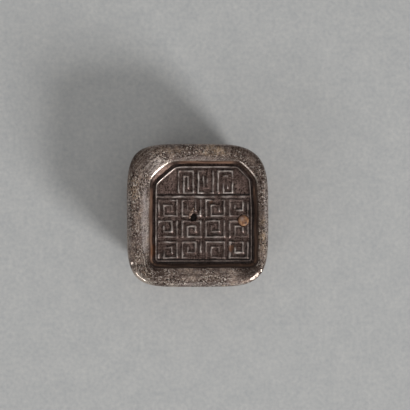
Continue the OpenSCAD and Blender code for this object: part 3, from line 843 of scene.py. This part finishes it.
    # fine relief: die scores, pores, raised specks under the painted glints, and file arcs
    height = fine
    for share, change in ((scoresX, 0.35), (scoresY, 0.35)):
        height = addNode(tree, "Math", timesPlus, {0: share, 1: change, 2: height}).outputs[0]
    height = addNode(tree, "Math", times, {0: height, 1: 0.35}).outputs[0]
    for share, change in ((holes, -0.6), (glints, 0.5), (lines, -0.5)):
        height = addNode(tree, "Math", timesPlus, {0: share, 1: change, 2: height}).outputs[0]
    depth = addNode(tree, "Math", times, {0: matt, 1: 0.7}).outputs[0]
    bump = addNode(tree, "Bump", inputs={"Strength": depth, "Distance": 0.12 * mm, "Height": height})
    shader = addNode(tree, "BsdfPrincipled", inputs={
        "Base Color": colour, "Metallic": metal, "Roughness": gloss, "Normal": bump.outputs["Normal"]})
    addNode(tree, "OutputMaterial", inputs={"Surface": shader.outputs["BSDF"]})
    return material


def tanResin():
    # hard resin or clay, rubbed: orange tan, mottled, with a dull sheen and a darker chipped side
    material, tree, inMm = newMaterial("rubbedTanResin")
    mottle = addNode(tree, "TexNoise", inputs={
        "Vector": inMm, "Scale": 1 / 0.9, "Detail": 4.0}).outputs["Fac"]
    grit = addNode(tree, "TexNoise", inputs={
        "Vector": inMm, "Scale": 1 / 0.22, "Detail": 3.0}).outputs["Fac"]
    share = addNode(tree, "MapRange", inputs={
        "Value": mottle, "From Min": 0.35, "From Max": 0.65}).outputs["Result"]
    colour = addNode(tree, "Mix", rgba, {
        0: share, 6: hexLinear("#6f4129"), 7: hexLinear("#b58a63")}).outputs[2]
    for name, code in (("pale", "#a98f82"), ("scar", "#4a2c1c")):
        spot = addNode(tree, "Attribute", {"attribute_name": name}).outputs["Fac"]
        colour = addNode(tree, "Mix", rgba, {0: spot, 6: colour, 7: hexLinear(code)}).outputs[2]
    bump = addNode(tree, "Bump", inputs={"Strength": 0.4, "Distance": 0.05 * mm, "Height": grit})
    shader = addNode(tree, "BsdfPrincipled", inputs={
        "Base Color": colour, "Roughness": 0.48, "IOR": 1.5, "Normal": bump.outputs["Normal"]})
    addNode(tree, "OutputMaterial", inputs={"Surface": shader.outputs["BSDF"]})
    return material


def tanCrust():
    # dried earthy crust: matt and crumbly; one noise sets both its colour and its bumps, so the high grains
    # carry a painted highlight
    material, tree, inMm = newMaterial("driedTanCrust")
    grit = addNode(tree, "TexNoise", inputs={
        "Vector": inMm, "Scale": 1 / 0.3, "Detail": 4.0}).outputs["Fac"]
    share = addNode(tree, "MapRange", inputs={
        "Value": grit, "From Min": 0.35, "From Max": 0.65}).outputs["Result"]
    colour = addNode(tree, "Mix", rgba, {
        0: share, 6: hexLinear("#694c3d"), 7: hexLinear("#c6ab99")}).outputs[2]
    bump = addNode(tree, "Bump", inputs={"Strength": 0.7, "Distance": 0.08 * mm, "Height": grit})
    shader = addNode(tree, "BsdfPrincipled", inputs={
        "Base Color": colour, "Roughness": 0.85, "Normal": bump.outputs["Normal"]})
    addNode(tree, "OutputMaterial", inputs={"Surface": shader.outputs["BSDF"]})
    return material


def palePaper():
    # uncoated pale paper sweep: flat grey, faintly clouded and fibrous
    material, tree, inMm = newMaterial("palePaper")
    cloud = addNode(tree, "TexNoise", inputs={
        "Vector": inMm, "Scale": 1 / 8, "Detail": 4.0, "Roughness": 0.8}).outputs["Fac"]
    fibres = addNode(tree, "TexNoise", inputs={
        "Vector": inMm, "Scale": 1 / 1.3, "Detail": 1.0}).outputs["Fac"]
    cloud = addNode(tree, "Math", timesPlus, {0: fibres, 1: 0.9, 2: cloud}).outputs[0]
    cloud = addNode(tree, "Math", minus, {0: cloud, 1: 0.45}).outputs[0]
    colour = addNode(tree, "Mix", rgba, {
        0: cloud, 6: hexLinear("#b8babb"), 7: hexLinear("#d5d4d1")}).outputs[2]
    shader = addNode(tree, "BsdfPrincipled", inputs={"Base Color": colour, "Roughness": 0.9})
    addNode(tree, "OutputMaterial", inputs={"Surface": shader.outputs["BSDF"]})
    return material


makeCasting(tarnishedSilver())
makePellet(tanResin())
makeCrumbs(tanCrust())


# floor, light and camera

stage = {  # sizes and distances in metres
    "floorSize": 3.0,
    "keyLight": {
        "turn": (0.7, -0.714), "elevation": 23.4, "away": 4.0, "wide": 1.05, "tall": 1.15, "power": 118.0},
    "fillLight": {
        "turn": (-0.72, -0.69), "elevation": 28.0, "away": 2.5, "wide": 2.1, "tall": 0.22, "power": 9.5},
    "worldLow": 0.18, "worldRise": 0.29,  # the room grows brighter from the horizon to straight above
    "worldLean": (0.04, 0.04, 0.0),  # and is a little brighter on the right and at the back
}
view = {
    "lens": 187.8, "away": 0.7, "nearest": 0.01,  # both distances in metres
    "fromLeft": 3.5, "fromFront": -1.5, "aim": (2.4, 3.4, 18.4),  # degrees, and millimetres
}


def makeFloor():
    bm = bmesh.new()
    bmesh.ops.create_grid(bm, x_segments=1, y_segments=1, size=stage["floorSize"] / 2)
    mesh = bpy.data.meshes.new("floor")
    bm.to_mesh(mesh)
    bm.free()
    mesh.materials.append(palePaper())
    floor = bpy.data.objects.new("floor", mesh)
    bpy.context.scene.collection.objects.link(floor)


def addLight(name, turn, elevation, away, wide, tall, power):
    lamp = bpy.data.lights.new(name, "AREA")
    lamp.shape = "RECTANGLE"
    lamp.size = wide
    lamp.size_y = tall
    lamp.energy = power
    light = bpy.data.objects.new(name, lamp)
    bpy.context.scene.collection.objects.link(light)
    e = math.radians(elevation)
    flat = Vector((*turn, 0)).normalized() * math.cos(e)
    out = Vector((flat.x, flat.y, math.sin(e)))
    light.location = out * away
    light.rotation_euler = out.to_track_quat("Z", "Y").to_euler()


def lightRoom():
    world = bpy.data.worlds.new("studio")
    world.use_nodes = True
    tree = world.node_tree
    towards = addNode(tree, "TexCoord").outputs["Generated"]
    upward = addNode(tree, "SeparateXYZ", inputs={0: towards}).outputs["Z"]
    upward = addNode(tree, "Math", {"operation": "MULTIPLY", "use_clamp": True}, {
        0: upward, 1: upward}).outputs[0]
    strength = addNode(tree, "Math", timesPlus, {
        0: upward, 1: stage["worldRise"], 2: stage["worldLow"]}).outputs[0]
    lean = addNode(tree, "VectorMath", {"operation": "DOT_PRODUCT"}, {
        0: towards, 1: stage["worldLean"]}).outputs["Value"]
    strength = addNode(tree, "Math", {"operation": "ADD"}, {0: strength, 1: lean}).outputs[0]
    backdrop = tree.nodes["Background"]
    backdrop.inputs["Color"].default_value = (1, 1, 1, 1)
    tree.links.new(strength, backdrop.inputs["Strength"])
    bpy.context.scene.world = world
    bpy.context.scene.view_settings.view_transform = "Standard"


def placeCamera():
    camera = bpy.data.objects.new("camera", bpy.data.cameras.new("camera"))
    bpy.context.scene.collection.objects.link(camera)
    camera.data.lens = view["lens"]
    camera.data.clip_start = view["nearest"]
    leanX, leanY = [-math.tan(math.radians(view[name])) for name in ("fromLeft", "fromFront")]
    back = Vector((leanX, leanY, 1)).normalized()
    side = Vector((0, 1, 0)).cross(back).normalized()
    turned = Matrix((side, back.cross(side), back)).transposed().to_4x4()
    camera.matrix_world = Matrix.Translation(Vector(view["aim"]) * mm + back * view["away"]) @ turned
    bpy.context.scene.camera = camera


makeFloor()
for lightName in ("keyLight", "fillLight"):
    addLight(lightName, **stage[lightName])
lightRoom()
placeCamera()
print("floor, lights and camera placed")
